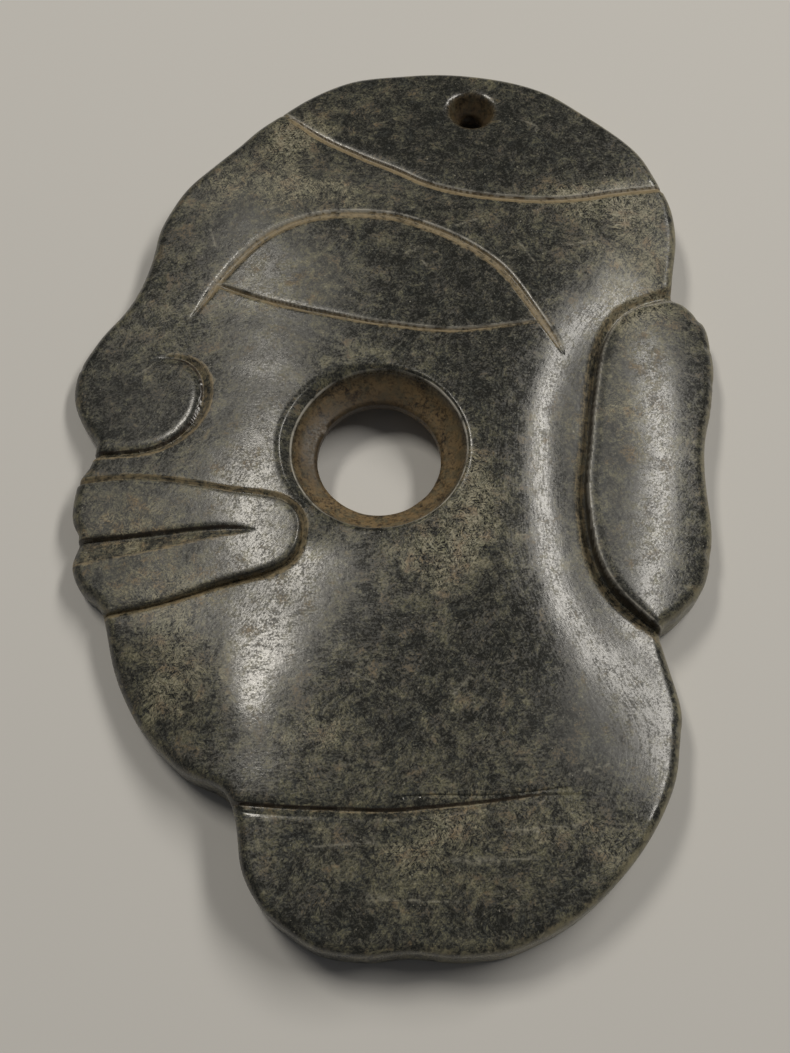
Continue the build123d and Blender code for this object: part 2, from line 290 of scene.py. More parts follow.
# Ear pad: where it starts to turn down towards its outer edge, how far that line leans to the left below the
# middle, where the pad starts to turn down towards its top, and how fast it turns both ways
PAD_CREST = 21.2
PAD_LEAN = 0.2
PAD_TOP = 7.0
PAD_BOW = 0.0175
PAD_END_BOW = 0.008

# Slow unevenness of the worn front, as height, length of the waves and seed
WAVES = [(0.035, 7.0, 3.7), (0.012, 2.6, 11.3)]

# Chips knocked out of the rim, as x, y, reach and depth
CHIPS = [
    (29.6, 15.4, 0.7, 0.35), (30.4, 12.2, 0.5, 0.25), (30.7, 8.3, 0.6, 0.3), (29.9, 5.4, 0.4, 0.2),
    (28.8, -9.6, 0.8, 0.4), (28.4, 28.0, 0.6, 0.25), (28.3, 22.6, 0.5, 0.25), (24.7, -26.0, 0.7, 0.2),
    (-28.6, -12.1, 0.5, 0.2), (-24.6, -20.6, 0.5, 0.2), (-30.6, 11.0, 0.5, 0.2), (12.5, -43.0, 0.7, 0.25),
]

# Clouds in the stone, as x, y, reach along x and along y, and how much tan they hold; dark ones are negative.
# Those on the ear pad, above the ear, left of the lips and on the cheek below them also lighten the stone
# as painted sheen where its highlights spread.
TAN_AND_SHEEN_CLOUDS = [
    (-15.0, 31.0, 7.0, 5.0, 0.6), (-6.0, 29.0, 8.0, 3.0, 0.6), (20.5, 28.0, 7.0, 3.5, 1.0),
    (23.0, 3.0, 3.5, 14.0, 0.5), (25.0, 19.5, 4.0, 6.0, 0.9), (-15.0, 16.0, 6.0, 5.0, 0.35),
    (7.2, -3.5, 2.6, 6.0, 1.0), (3.8, -11.0, 5.0, 4.0, 0.8), (-5.6, -11.0, 4.0, 4.0, 0.2),
    (-7.8, -26.0, 6.0, 6.0, 0.5), (9.0, -28.0, 6.0, 3.5, 0.45), (-20.0, -20.0, 5.0, 8.0, 0.7),
    (-19.0, -13.0, 6.0, 4.0, 0.5), (1.5, -36.0, 8.0, 5.0, 0.6), (14.0, -39.0, 5.0, 3.0, -0.3),
    (-8.5, 36.5, 5.0, 3.0, 1.0), (17.0, -36.5, 6.0, 5.0, 0.6), (20.0, 17.0, 4.0, 4.0, 0.35),
    (-8.0, 19.0, 5.0, 4.0, 0.4), (-23.0, -6.0, 6.0, 5.0, 0.6), (-22.0, 18.0, 5.0, 6.0, 0.35),
    (8.0, 35.5, 15.0, 5.0, -0.8), (7.5, 17.0, 7.0, 4.0, -0.9), (10.0, 7.5, 5.0, 4.0, -0.9),
    (13.0, -19.5, 5.0, 5.0, -0.9), (0.8, -22.0, 2.5, 7.0, -0.6), (-24.6, 5.0, 5.0, 4.0, -0.5),
    (16.8, 0.0, 1.5, 12.0, 0.3), (20.5, -23.0, 4.0, 5.0, -0.5), (-6.0, -42.0, 6.0, 2.5, -0.4),
    (-1.0, 12.5, 5.0, 2.0, -0.3),
]

# Places where the polish has gone dull, in the same way
SCUFFS = [
    (20.5, 0.0, 3.0, 15.0, 1.0), (17.0, 0.0, 1.6, 13.0, 1.0), (17.0, -27.0, 6.0, 5.0, 1.0),
    (-25.0, -8.0, 6.0, 7.0, 1.0), (-26.0, 7.0, 5.0, 6.0, 0.6), (-14.0, 28.0, 8.0, 6.0, 0.7),
    (-3.0, 29.5, 8.0, 3.0, 0.7), (-8.0, 19.5, 6.0, 4.0, 0.7), (-14.0, 0.0, 5.0, 14.0, 0.4),
    (-8.0, -15.0, 6.0, 5.0, 0.4), (26.0, 12.0, 4.0, 6.0, 0.6), (25.5, 21.0, 3.5, 3.0, 1.0),
    (-8.0, 14.0, 5.0, 5.0, 0.5),
]

# Short light scratches on the front, from x, y to x, y
SCRATCHES = [
    (-19.9, 15.0, -18.4, 17.3), (1.6, 22.6, 2.2, 21.4), (2.7, 20.7, 3.3, 19.6), (1.2, 21.2, 2.6, 21.9),
    (13.4, 38.2, 14.9, 37.4), (14.9, 37.4, 14.6, 36.9), (-13.1, 26.6, -11.4, 27.2), (17.5, 22.5, 20.4, 23.3),
    (12.4, 22.6, 13.9, 20.3), (-3.5, -21.5, -1.6, -22.4), (5.2, -23.4, 6.6, -21.9),
    (14.8, -30.2, 18.2, -29.3), (-18.2, 25.1, -17.6, 22.9), (-24.5, 9.3, -22.9, 10.4), (6.3, 24.6, 8.2, 25.4),
    (-6.4, -36.2, -1.2, -35.8), (4.2, -37.4, 11.9, -37.1), (-2.4, -40.3, 5.3, -40.6),
    (9.5, -34.9, 15.5, -34.4),
]


def smooth_line(rows, step):
    """Points about every step along a natural cubic through these rows, in all their columns."""
    rows = np.array(rows, float)
    runs = np.hypot(*np.diff(rows[:, :2], axis=0).T)
    place = np.concatenate([[0.0], np.cumsum(runs)])
    count = len(rows)
    system = np.eye(count)
    pull = np.zeros_like(rows)
    for i in range(1, count - 1):
        system[i, i - 1:i + 2] = runs[i - 1], 2 * (runs[i - 1] + runs[i]), runs[i]
        pull[i] = 6 * ((rows[i + 1] - rows[i]) / runs[i] - (rows[i] - rows[i - 1]) / runs[i - 1])
    bend = np.linalg.solve(system, pull)
    at = np.linspace(0, place[-1], max(2, int(round(place[-1] / step)) + 1))
    i = np.clip(np.searchsorted(place, at, side="right") - 1, 0, count - 2)
    run = runs[i][:, None]
    b = (at - place[i])[:, None] / run
    a = 1 - b
    bowed = ((a**3 - a) * bend[i] + (b**3 - b) * bend[i + 1]) * run**2 / 6
    return a * rows[i] + b * rows[i + 1] + bowed


def soften(points, reach, step):
    """Round a closed line's corners by averaging each point with its neighbours."""
    spread = int(3 * reach / step)
    weights = np.exp(-0.5 * (np.arange(-spread, spread + 1) * step / reach) ** 2)
    weights /= weights.sum()
    return sum(w * np.roll(points, k - spread, axis=0) for k, w in enumerate(weights))


class Line:
    """A line drawn on the plan: its points, and further values at each of them."""

    def __init__(self, rows, closed=False):
        self.points = rows[:, :2]
        self.values = rows[:, 2:]
        self.closed = closed
        self.tree = KDTree(len(rows))
        for i, (x, y) in enumerate(self.points):
            self.tree.insert((x, y, 0), i)
        self.tree.balance()

    def measure(self, at, reach=99.0):
        """For each point: distance left of the line, its foot on the line, the values there, and whether it
        lies beside the line and not past an end. Points further away than reach get a distance of 99."""
        count = len(self.points)
        low, high = self.points.min(0) - reach, self.points.max(0) + reach
        near = np.flatnonzero(((at > low) & (at < high)).all(1))
        gap = np.full(len(at), 99.0)
        foot = at.copy()
        place = np.zeros(len(at))
        closest = np.array([self.tree.find((x, y, 0))[1] for x, y in at[near]], int)
        best = np.full(len(near), 1e9)
        for first in (closest - 1, closest):
            first = first % count if self.closed else np.clip(first, 0, count - 2)
            start = self.points[first]
            run = self.points[(first + 1) % count] - start
            rel = at[near] - start
            share = np.clip((rel * run).sum(1) / (run**2).sum(1), 0, 1)
            off = rel - share[:, None] * run
            far = np.hypot(*off.T)
            side = np.where(run[:, 0] * off[:, 1] - run[:, 1] * off[:, 0] < 0, -1.0, 1.0)
            better = far < best - 1e-9
            best[better] = far[better]
            gap[near[better]] = (side * far)[better]
            foot[near[better]] = (at[near] - off)[better]
            place[near[better]] = (first + share)[better]
        marks = np.arange(count)
        values = np.array([np.interp(place, marks, column) for column in self.values.T]).T
        beside = self.closed | ((place > 1e-6) & (place < count - 1 - 1e-6))
        return gap, foot, values, beside & (abs(gap) < 98)


def outline_points():
    """Points along the stone's outline, with its corners a little rounded."""
    corner = EAR[-1]
    points = []
    for stretch in (CROWN_TO_NOSE, UPPER_LIP, LOWER_LIP, CHIN, NECK_TO_NAPE, EAR):
        points.extend(smooth_line([corner, *stretch], 0.05)[:-1])
        corner = stretch[-1]
    return soften(np.array(points), 0.28, 0.05)[::5]


OUTLINE = Line(outline_points(), closed=True)
RIDGE_LINE = Line(smooth_line(RIDGE, 0.3))
GROOVE_LINES = {name: Line(smooth_line(groove["route"], 0.25)) for name, groove in GROOVES.items()}


def ramp(value, low, high):
    """Smooth step from 0 to 1 between two values."""
    t = np.clip((value - low) / (high - low), 0, 1)
    return t * t * (3 - 2 * t)


def blend(start, end, share):
    """What lies this share of the way from the start to the end."""
    return start + (end - start) * share


def hole_edge(angle):
    """Radius of the middle hole's front mouth, with the bevel beside it."""
    toward = FLARE_SHIFT[0] * np.cos(angle) + FLARE_SHIFT[1] * np.sin(angle)
    shift = FLARE_SHIFT[0] ** 2 + FLARE_SHIFT[1] ** 2
    bevel = toward + np.sqrt(FLARE_RADIUS**2 - shift + toward**2)
    return HOLE_MOUTH + np.logaddexp(0, (bevel - HOLE_MOUTH) / FLARE_BEND) * FLARE_BEND


def polar(at, middle):
    """Distance and angle of each point from a hole's middle."""
    x, y = at[:, 0] - middle[0], at[:, 1] - middle[1]
    return np.hypot(x, y), np.arctan2(y, x)


def groove_widths(groove, values):
    """Depth, floor, wall and slope of a groove where these values of its route hold; they taper out."""
    depth = np.maximum(values[:, 0], 0)
    taper = np.clip(depth / FULL_DEPTH, 0, 1) ** 0.7
    wall = np.maximum(groove["wall"] * taper, LEAST_WALL)
    slope = np.maximum(values[:, 1], LEAST_SLOPE)
    return depth, groove["floor"] * taper, wall, slope


def waves(at, size, seed):
    """Slow unevenness between about -1 and 1, in waves of this size in millimetres."""
    return np.array([noise.noise(Vector((x / size, y / size, seed))) for x, y in at]) * 1.6


def fold(rows, at):
    """How much lower the stone lies on the left of a fold."""
    line_x, line_y, share, ease = smooth_line(rows, 0.25)[::-1].T
    x, y = at.T
    lean = np.interp(y, line_y, np.gradient(line_x, line_y))
    gap = (x - np.interp(y, line_y, line_x)) / np.hypot(1, lean)
    ease = np.interp(y, line_y, ease)
    return FOLD_TURN * np.interp(y, line_y, share) * np.logaddexp(0, -gap / ease) * ease


def base_height(at):
    """Height of the domed front before its grooves: the face's side of each line, and the ear's."""
    x, y = at.T
    side_fall = np.where(x < 0, NOSE_FALL, EAR_FALL)
    dome = THICKNESS - side_fall * (x / (WIDTH / 2)) ** 2 - END_FALL * (y / (HEIGHT / 2)) ** 2
    lip_gap, _, _, _ = GROOVE_LINES["lips"].measure(at)
    upper = np.where(lip_gap > 0, 1, ramp(y, *FOLD_CHANGE))
    face = dome - upper * fold(FACE_FOLD, at) - (1 - upper) * fold(CHEEK_FOLD, at)
    gap, _, values, _ = RIDGE_LINE.measure(at)
    distance, depth = smooth_line(COVE, 0.05).T
    face = face - values[:, 0] * np.interp(gap / values[:, 1], distance, depth)
    crest = PAD_CREST - PAD_LEAN * np.maximum(-y, 0)
    pad = dome - PAD_BOW * np.maximum(x - crest, 0) ** 2 - PAD_END_BOW * np.maximum(y - PAD_TOP, 0) ** 2
    return dome, face, pad


def edge_fall(inward):
    """How far the front's rounded edge has fallen at this distance in from the outline."""
    return FRONT_ROUND - np.sqrt(FRONT_ROUND**2 - (FRONT_ROUND - inward) ** 2)


def mouth_fall(at):
    """How far the front rolls down to the mouths of its two holes."""
    away, angle = polar(at, HOLE)
    edge = hole_edge(angle)
    flared = np.clip((edge - HOLE_MOUTH) / FULL_FLARE, 0, 1)
    depth = blend(PLAIN_ROLL[0], FLARE_ROLL[0], flared)
    reach = blend(PLAIN_ROLL[1], FLARE_ROLL[1], flared)
    fall = depth * np.clip(1 - (away - edge) / reach, 0, 1) ** 2
    away, _ = polar(at, CORD)
    depth, reach = CORD_ROLL
    return fall + depth * np.clip(1 - (away - CORD_MOUTH) / reach, 0, 1) ** 2


def grooved(at, base, dome, face):
    """The base with its grooves cut, rolled down a little on the way to each groove's wall."""
    carved = base.copy()
    rolled = np.zeros(len(at))
    for name, groove in GROOVES.items():
        gap, _, values, _ = GROOVE_LINES[name].measure(at, 8.0)
        depth, floor, wall, slope = groove_widths(groove, values)
        left = np.clip(1 - (gap - floor) / wall, 0, 1)
        right = np.clip(1 - (-gap - floor) / slope, 0, 1) ** groove["hollow"]
        cut = np.where(gap > 0, left, right)
        bottom = (dome if name == "ear" else face) - depth
        carved = np.minimum(carved, base - np.maximum(base - bottom, 0) * cut)
        edge = floor + wall
        roll = groove["sink"] * np.clip(depth / 0.3, 0, 1)
        fade = np.clip(1 - (np.maximum(gap, edge) - edge) / groove["roll"], 0, 1) ** 2
        rolled = np.maximum(rolled, np.where(gap > 0, roll * fade, 0))
    return np.minimum(carved, base - rolled)


def carved_height(at):
    """Height of the front at each point of the plan."""
    dome, face, pad = base_height(at)
    ear_gap, _, _, _ = GROOVE_LINES["ear"].measure(at)
    carved = grooved(at, np.where(ear_gap > 0, pad, face), dome, face)
    inward, _, _, _ = OUTLINE.measure(at)
    carved = carved - edge_fall(np.clip(inward, 0, FRONT_ROUND)) - mouth_fall(at)
    for x, y, reach, depth in CHIPS:
        away = np.hypot(at[:, 0] - x, at[:, 1] - y) / reach
        carved -= depth * np.clip(1 - away**2, 0, 1)
    for height, length, seed in WAVES:
        carved += height * waves(at, length, seed)
    return carved


def scratch_gap(at):
    """Distance of each point from the nearest scratch."""
    gap = np.full(len(at), 99.0)
    for x0, y0, x1, y1 in SCRATCHES:
        run = np.array((x1 - x0, y1 - y0))
        rel = at - (x0, y0)
        share = np.clip(rel @ run / (run @ run), 0, 1)
        gap = np.minimum(gap, np.hypot(*(rel - share[:, None] * run).T))
    return gap


def spacing_wanted(at):
    """How fine the mesh has to be at each point of the plan."""
    wanted = np.full(len(at), GRID)
    inward, _, _, _ = OUTLINE.measure(at)
    away, angle = polar(at, HOLE)
    cord_away, _ = polar(at, CORD)
    ridge_gap, _, _, _ = RIDGE_LINE.measure(at)
    at_mouth = (abs(away - hole_edge(angle)) < HOLE_BAND) | (cord_away < CORD_REACH)
    wanted[at_mouth | (inward < RIM_BAND) | (abs(ridge_gap - 1) < COVE_BAND)] = GRID / 2
    for name, groove in GROOVES.items():
        gap, _, values, beside = GROOVE_LINES[name].measure(at, 4.0)
        depth, floor, wall, slope = groove_widths(groove, values)
        beside = beside & (depth > 0)
        steep = np.minimum(slope, 0.5)
        once = beside & (gap < floor + wall + WALL_BANDS[0]) & (gap > -floor - slope - SLOPE_BANDS[0])
        twice = beside & (gap < floor + wall + WALL_BANDS[1]) & (gap > -floor - steep - SLOPE_BANDS[1])
        if groove["crest"] > 0.6:
            twice |= beside & (abs(gap + floor + slope) < 0.2)
        wanted[once] = np.minimum(wanted[once], GRID / 2)
        wanted[twice] = GRID / 4
    wanted[scratch_gap(at) < SCRATCH_BAND] = GRID / 4
    return wanted


def refine(bm):
    """Halve the grid twice where the carving needs it."""
    for step in (GRID, GRID / 2):
        faces = list(bm.faces)
        middles = np.array([face.calc_center_median().xy for face in faces])
        too_coarse = {}
        for face, wanted in zip(faces, spacing_wanted(middles)):
            size = max(edge.calc_length() for edge in face.edges)
            if wanted < step * 0.9 and size > step * 0.75:
                too_coarse.update(dict.fromkeys(face.edges))
        bmesh.ops.subdivide_edges(bm, edges=list(too_coarse), cuts=1, use_grid_fill=True)
    bmesh.ops.triangulate(bm, faces=list(bm.faces), quad_method="BEAUTY", ngon_method="BEAUTY")


def pull_on(at, edges, gap, unit, usable, locked):
    """Move the nearer end of each edge that crosses a line onto that line, and lock it there."""
    a, b = edges.T
    crossing = (gap[a] * gap[b] < 0) & usable[a] & usable[b]
    a, b = a[crossing], b[crossing]
    nearer = np.where(abs(gap[a]) <= abs(gap[b]), a, b)
    other = np.where(abs(gap[a]) <= abs(gap[b]), b, a)
    share = abs(gap[other]) / (abs(gap[a]) + abs(gap[b]))
    swap = locked[nearer] & ~locked[other] & (share < 0.85)
    pick = np.where(swap, other, nearer)
    pick = np.unique(pick[~locked[pick]])
    at[pick] -= gap[pick][:, None] * unit[pick]
    locked[pick] = True


def uphill(at, gap, foot):
    """Direction in which a distance from a line grows."""
    flat = np.where(abs(gap) < 1e-9, 1e-9, gap)
    return (at - foot) / flat[:, None]


def beyond_mouth(at, hole):
    """How far each point lies outside the edge that the front's mesh leaves round a hole, and the way out."""
    away, angle = polar(at, hole)
    edge = hole_edge(angle) + HOLE_START if hole == HOLE else CORD_MOUTH + CORD_START
    return away - edge, np.stack([np.cos(angle), np.sin(angle)], axis=1)


def align(bm):
    """Pull the plan's vertices onto the outline, the hole mouths and the edges of the grooves."""
    bm.verts.index_update()
    at = np.array([vert.co.xy for vert in bm.verts])
    edges = np.array([[vert.index for vert in edge.verts] for edge in bm.edges])
    locked = np.zeros(len(at), bool)
    everywhere = np.ones(len(at), bool)
    gap, foot, _, _ = OUTLINE.measure(at)
    pull_on(at, edges, gap - RIM_START, uphill(at, gap, foot), everywhere, locked)
    for hole in (HOLE, CORD):
        gap, outward = beyond_mouth(at, hole)
        pull_on(at, edges, gap, outward, everywhere, locked)
    for name, groove in GROOVES.items():
        for part in ("wall", "floor", "slope"):
            if part == "slope" and groove["floor"] == 0:
                continue
            gap, foot, values, beside = GROOVE_LINES[name].measure(at, 3.0)
            depth, floor, wall, _ = groove_widths(groove, values)
            edge = {"wall": floor + wall, "floor": floor, "slope": -floor}[part]
            pull_on(at, edges, gap - edge, uphill(at, gap, foot), beside & (depth > 0.02), locked)
    for vert, (x, y) in zip(bm.verts, at):
        vert.co = (x, y, 0)


def trim(bm):
    """Take away what lies outside the stone or in a hole, and faces that then hang on by a corner alone."""
    faces = list(bm.faces)
    middles = np.array([face.calc_center_median().xy for face in faces])
    inward, _, _, _ = OUTLINE.measure(middles)
    past_hole, _ = beyond_mouth(middles, HOLE)
    past_cord, _ = beyond_mouth(middles, CORD)
    outside = (inward < RIM_START) | (past_hole < 0) | (past_cord < 0)
    bmesh.ops.delete(bm, geom=[face for face, out in zip(faces, outside) if out], context="FACES")
    for vert in list(bm.verts):
        if vert.is_valid and sum(len(edge.link_faces) == 1 for edge in vert.link_edges) > 2:
            bmesh.ops.delete(bm, geom=min(fans(vert), key=len), context="FACES")


def fans(vert):
    """Groups of faces round a vertex that hang together by their edges there."""
    left = list(vert.link_faces)
    groups = []
    while left:
        group = [left.pop(0)]
        for face in group:
            edges = [edge for edge in vert.link_edges if face in edge.link_faces]
            beside = [other for other in left if any(other in edge.link_faces for edge in edges)]
            group.extend(beside)
            left = [other for other in left if other not in beside]
        groups.append(group)
    return groups


def hole_at(x, y):
    """The hole whose mouth lies about this place, if any."""
    for hole, reach in ((HOLE, HOLE_REACH), (CORD, CORD_REACH)):
        if np.hypot(x - hole[0], y - hole[1]) < reach:
            return hole
    return None


def boundary(bm, hole=None):
    """Open edges round this hole, or else those round the outside."""
    open_edges = [edge for edge in bm.edges if len(edge.link_faces) == 1]
    return [edge for edge in open_edges if hole_at(*edge.verts[0].co.xy) == hole]


def lower(bm, edges, rings):
    """Extrude a loop of edges ring by ring. Each ring says where its vertices go, from the loop's own."""
    start = {vert: np.array(vert.co) for edge in edges for vert in edge.verts}
    for ring in rings:
        made = bmesh.ops.extrude_edge_only(bm, edges=edges)["geom"]
        verts = [part for part in made if isinstance(part, bmesh.types.BMVert)]
        edges = [part for part in made if isinstance(part, bmesh.types.BMEdge)]
        fresh = set(verts)
        carried = {}
        for vert in verts:
            others = [edge.other_vert(vert) for edge in vert.link_edges]
            carried[vert] = start[next(other for other in others if other not in fresh)]
        for vert, place in zip(carried, ring(np.array(list(carried.values())))):
            vert.co = place
        start = carried
    return edges


def around(hole, radius, angle, height):
    """Places at these radii, angles and heights round a hole's middle."""
    x = hole[0] + radius * np.cos(angle)
    y = hole[1] + radius * np.sin(angle)
    return np.column_stack([x, y, np.broadcast_to(height, len(angle))])


def rim_rings():
    """Rings down the stone's edge: the front's rounding, the wall and the back's rounding."""
    def ring(inset, share, lift):
        """A ring so far in from the outline, at a share of the edge's own height and a lift."""
        def place(origin):
            at = origin[:, :2].astype(float)
            gap, foot, _, _ = OUTLINE.measure(at)
            top = origin[:, 2] + edge_fall(RIM_START)
            return np.column_stack([foot + uphill(at, gap, foot) * inset, share * top + lift])
        return place

    rings = [ring(inset, 1.0, -edge_fall(inset)) for inset in (0.16, 0.09, 0.04, 0.01, 0.0)]
    for share in (0.75, 0.5, 0.25):
        rings.append(ring(0.0, share, BACK_ROUND - share * (FRONT_ROUND + BACK_ROUND)))
    for step in range(7):
        turn = step / 6 * pi / 2
        rings.append(ring(BACK_ROUND * (1 - cos(turn)), 0.0, BACK_ROUND * (1 - sin(turn))))
    rings.append(ring(BACK_ROUND + 0.4, 0.0, 0.0))
    return rings


def hole_rings():
    """Rings down the middle hole: its edge, the bevel, the dished wall, the waist and the back's mouth."""
    def ring(shape):
        """A ring whose radius and height follow from the bevel's two radii, its foot and its top."""
        def place(origin):
            _, angle = polar(origin[:, :2], HOLE)
            top = origin[:, 2]
            outer = hole_edge(angle)
            inner = np.minimum(outer - LEAST_FLARE, FLARE_INNER)
            foot = top - 0.06 - FLARE_SLOPE * (outer - inner)
            radius, height = shape(outer, inner, foot, top)
            _, level = shape(0.0, 0.0, 0.0, 7.0)
            wobble = [noise.noise(Vector((3 * cos(a), 3 * sin(a), 1.3 * level))) for a in angle]
            return around(HOLE, radius + 0.05 * np.array(wobble), angle, height)
        return place

    rings = []
    for share in (0.0, 0.33, 0.67, 0.88):
        rings.append(ring(lambda outer, inner, foot, top, share=share: (
            blend(outer, inner, share), blend(top - 0.05, foot, share))))
    rings.append(ring(lambda outer, inner, foot, top: (
        inner + np.minimum(0.04, (outer - inner) * 0.06), foot + 0.02)))
    rings.append(ring(lambda outer, inner, foot, top: (inner - 0.04, foot - 0.08)))
    rings.append(ring(lambda outer, inner, foot, top: (inner - 0.1, foot - 0.2)))
    for step in range(1, 11):
        share = step / 10
        bow = FRONT_HOLLOW * sin(pi * share)
        rings.append(ring(lambda outer, inner, foot, top, share=share, bow=bow: (
            blend(inner - 0.1, HOLE_WAIST, share) + bow, blend(foot - 0.2, WAIST_TOP, share))))
    for step in range(1, 4):
        height = blend(WAIST_TOP, WAIST_END, step / 3)
        rings.append(ring(lambda outer, inner, foot, top, height=height: (HOLE_WAIST, height)))
    for step in range(1, 9):
        share = step / 8
        radius = blend(HOLE_WAIST, HOLE_BACK - 0.1, share) + BACK_HOLLOW * sin(pi * share)
        height = blend(WAIST_END, 0.05, share)
        rings.append(ring(lambda outer, inner, foot, top, radius=radius, height=height: (radius, height)))
    for radius in (HOLE_BACK, HOLE_BACK + 0.4):
        rings.append(ring(lambda outer, inner, foot, top, radius=radius: (radius, 0.0)))
    return rings


def cord_rings():
    """Rings down the cord hole: the front's dish, the waist and the back's dish."""
    def ring(radius, height):
        def place(origin):
            _, angle = polar(origin[:, :2], CORD)
            return around(CORD, radius, angle, height)
        return place

    def dish(start, end, top, bottom):
        """Rings of a hollow wall between two radii and two heights."""
        shares = [step / 8 for step in range(1, 9)]
        return [ring(blend(start, end, n) + CORD_HOLLOW * sin(pi * n), blend(top, bottom, n)) for n in shares]

    rings = [ring(CORD_MOUTH, CORD_EDGE)]
    rings += dish(CORD_MOUTH, CORD_WAIST, CORD_EDGE, CORD_WAIST_TOP)
    rings += [ring(CORD_WAIST, 2.9), ring(CORD_WAIST, CORD_WAIST_END)]
    rings += dish(CORD_WAIST, CORD_MOUTH - 0.1, CORD_WAIST_END, 0.05)
    rings += [ring(CORD_MOUTH, 0.0), ring(CORD_MOUTH + 0.3, 0.0)]
    return rings


def band(value, middle, half, soft):
    """1 within half of the middle, falling to 0 over a further soft."""
    return 1 - ramp(abs(value - middle), half, half + soft)


def clouds(at, table):
    """Sum of a table's soft round places at each point."""
    amount = np.zeros(len(at))
    for x, y, reach_x, reach_y, share in table:
        away = ((at[:, 0] - x) / reach_x) ** 2 + ((at[:, 1] - y) / reach_y) ** 2
        amount += share * np.exp(-away)
    return amount


def groove_marks(plan, front):
    """Dust, dirt with painted shade, and a painted glint along the grooves, and where each point lies beside
    the nearest one.
    """
    dust, dirt_and_shade, painted_glint = np.zeros((3, len(plan)))
    lay = np.zeros((len(plan), 3))
    nearest = np.full(len(plan), 3.0)
    for name, groove in GROOVES.items():
        gap, foot, values, _ = GROOVE_LINES[name].measure(plan, 5.0)
        depth, floor, wall, slope = groove_widths(groove, values)
        strength = ramp(depth, 0.02, 0.2) * front
        on_floor = band(gap, 0, floor + 0.05, 0.25) * groove["dust"]
        on_slope = band(gap, -floor - slope / 2, slope / 2, 0.12) * groove["tint"]
        on_crest = band(gap, -floor - slope, 0.08, 0.22) * groove["crest"]
        # Dark band on the wall: part brown dirt, part painted shade
        on_wall = band(gap, floor + wall * 0.55, wall * 0.35, 0.12) * groove["dirt_and_shade"]
        # Painted glint: a bright band along the top of the wall
        on_glint = band(gap, floor + wall + 0.06, 0.03, 0.12) * groove["edge_glint"]
        dust = np.maximum(dust, strength * np.maximum(np.maximum(on_floor, on_slope), on_crest))
        dirt_and_shade = np.maximum(dirt_and_shade, strength * on_wall)
        painted_glint = np.maximum(painted_glint, strength * on_glint)
        closer = abs(gap) < nearest
        nearest = np.where(closer, abs(gap), nearest)
        lay[closer] = np.column_stack([gap, foot])[closer]
    return dust, dirt_and_shade, painted_glint, lay


def paint(mesh, at):
    """Store at each vertex what the finish has to know about its place on the stone."""
    plan = at[:, :2]
    front = ramp(at[:, 2], 1.3, 2.0)
    dust, dirt_and_shade, painted_glint, lay = groove_marks(plan, front)
    inward, _, _, _ = OUTLINE.measure(plan)
    away, angle = polar(plan, HOLE)
    cord_away, _ = polar(plan, CORD)
    inner = np.minimum(hole_edge(angle) - LEAST_FLARE, FLARE_INNER)
    # Painted glint along the middle hole's inner edge, strongest on the sides where the light catches it
    glint_side = np.maximum(ramp(np.cos(angle), 0.2, 0.7), ramp(-np.cos(angle), 0.45, 0.85))
    painted_glint = np.maximum(painted_glint, band(away, inner, 0.05, 0.05) * front * (0.2 + 0.8 * glint_side))
    bore = np.maximum(ramp(inner - away, -0.1, 0.6), ramp(2.8 - cord_away, 0, 1.2))
    # Painted shade in the holes: darker deeper down, less on the side that faces the light
    lit_side = np.maximum(ramp(np.cos(angle), 0.1, 0.8), ramp(-np.sin(angle), 0.1, 0.8))
    ridge_gap, foot, _, _ = RIDGE_LINE.measure(plan, 9.0)
    values = {
        "by_ridge": 1 - ramp(abs(ridge_gap + 0.5), 2.5, 6.0),
        "dust": dust,
        "dirt_and_shade": dirt_and_shade,
        "painted_glint": painted_glint,
        "bore": bore,
        "hole_shade": bore * (1 - ramp(at[:, 2], 3.6, 6.6)) * (1 - 0.8 * lit_side),
        "cloud_and_sheen": clouds(plan, TAN_AND_SHEEN_CLOUDS),
        "scuff": np.clip(clouds(plan, SCUFFS), 0, 1) * front,
        "rim": (1 - ramp(inward, 0.15, 1.0)) * (0.45 + 0.45 * ramp(plan[:, 0], -10, 20)),
        "scratch": (1 - ramp(scratch_gap(plan), 0.02, 0.14)) * front,
    }
    for name, value in values.items():
        layer = mesh.attributes.new(name, "FLOAT", "POINT")
        layer.data.foreach_set("value", value.astype(np.float32))
    for name, value in (("lay", lay), ("sweep", np.column_stack([ridge_gap, foot]))):
        layer = mesh.attributes.new(name, "FLOAT_VECTOR", "POINT")
        layer.data.foreach_set("vector", value.astype(np.float32).ravel())


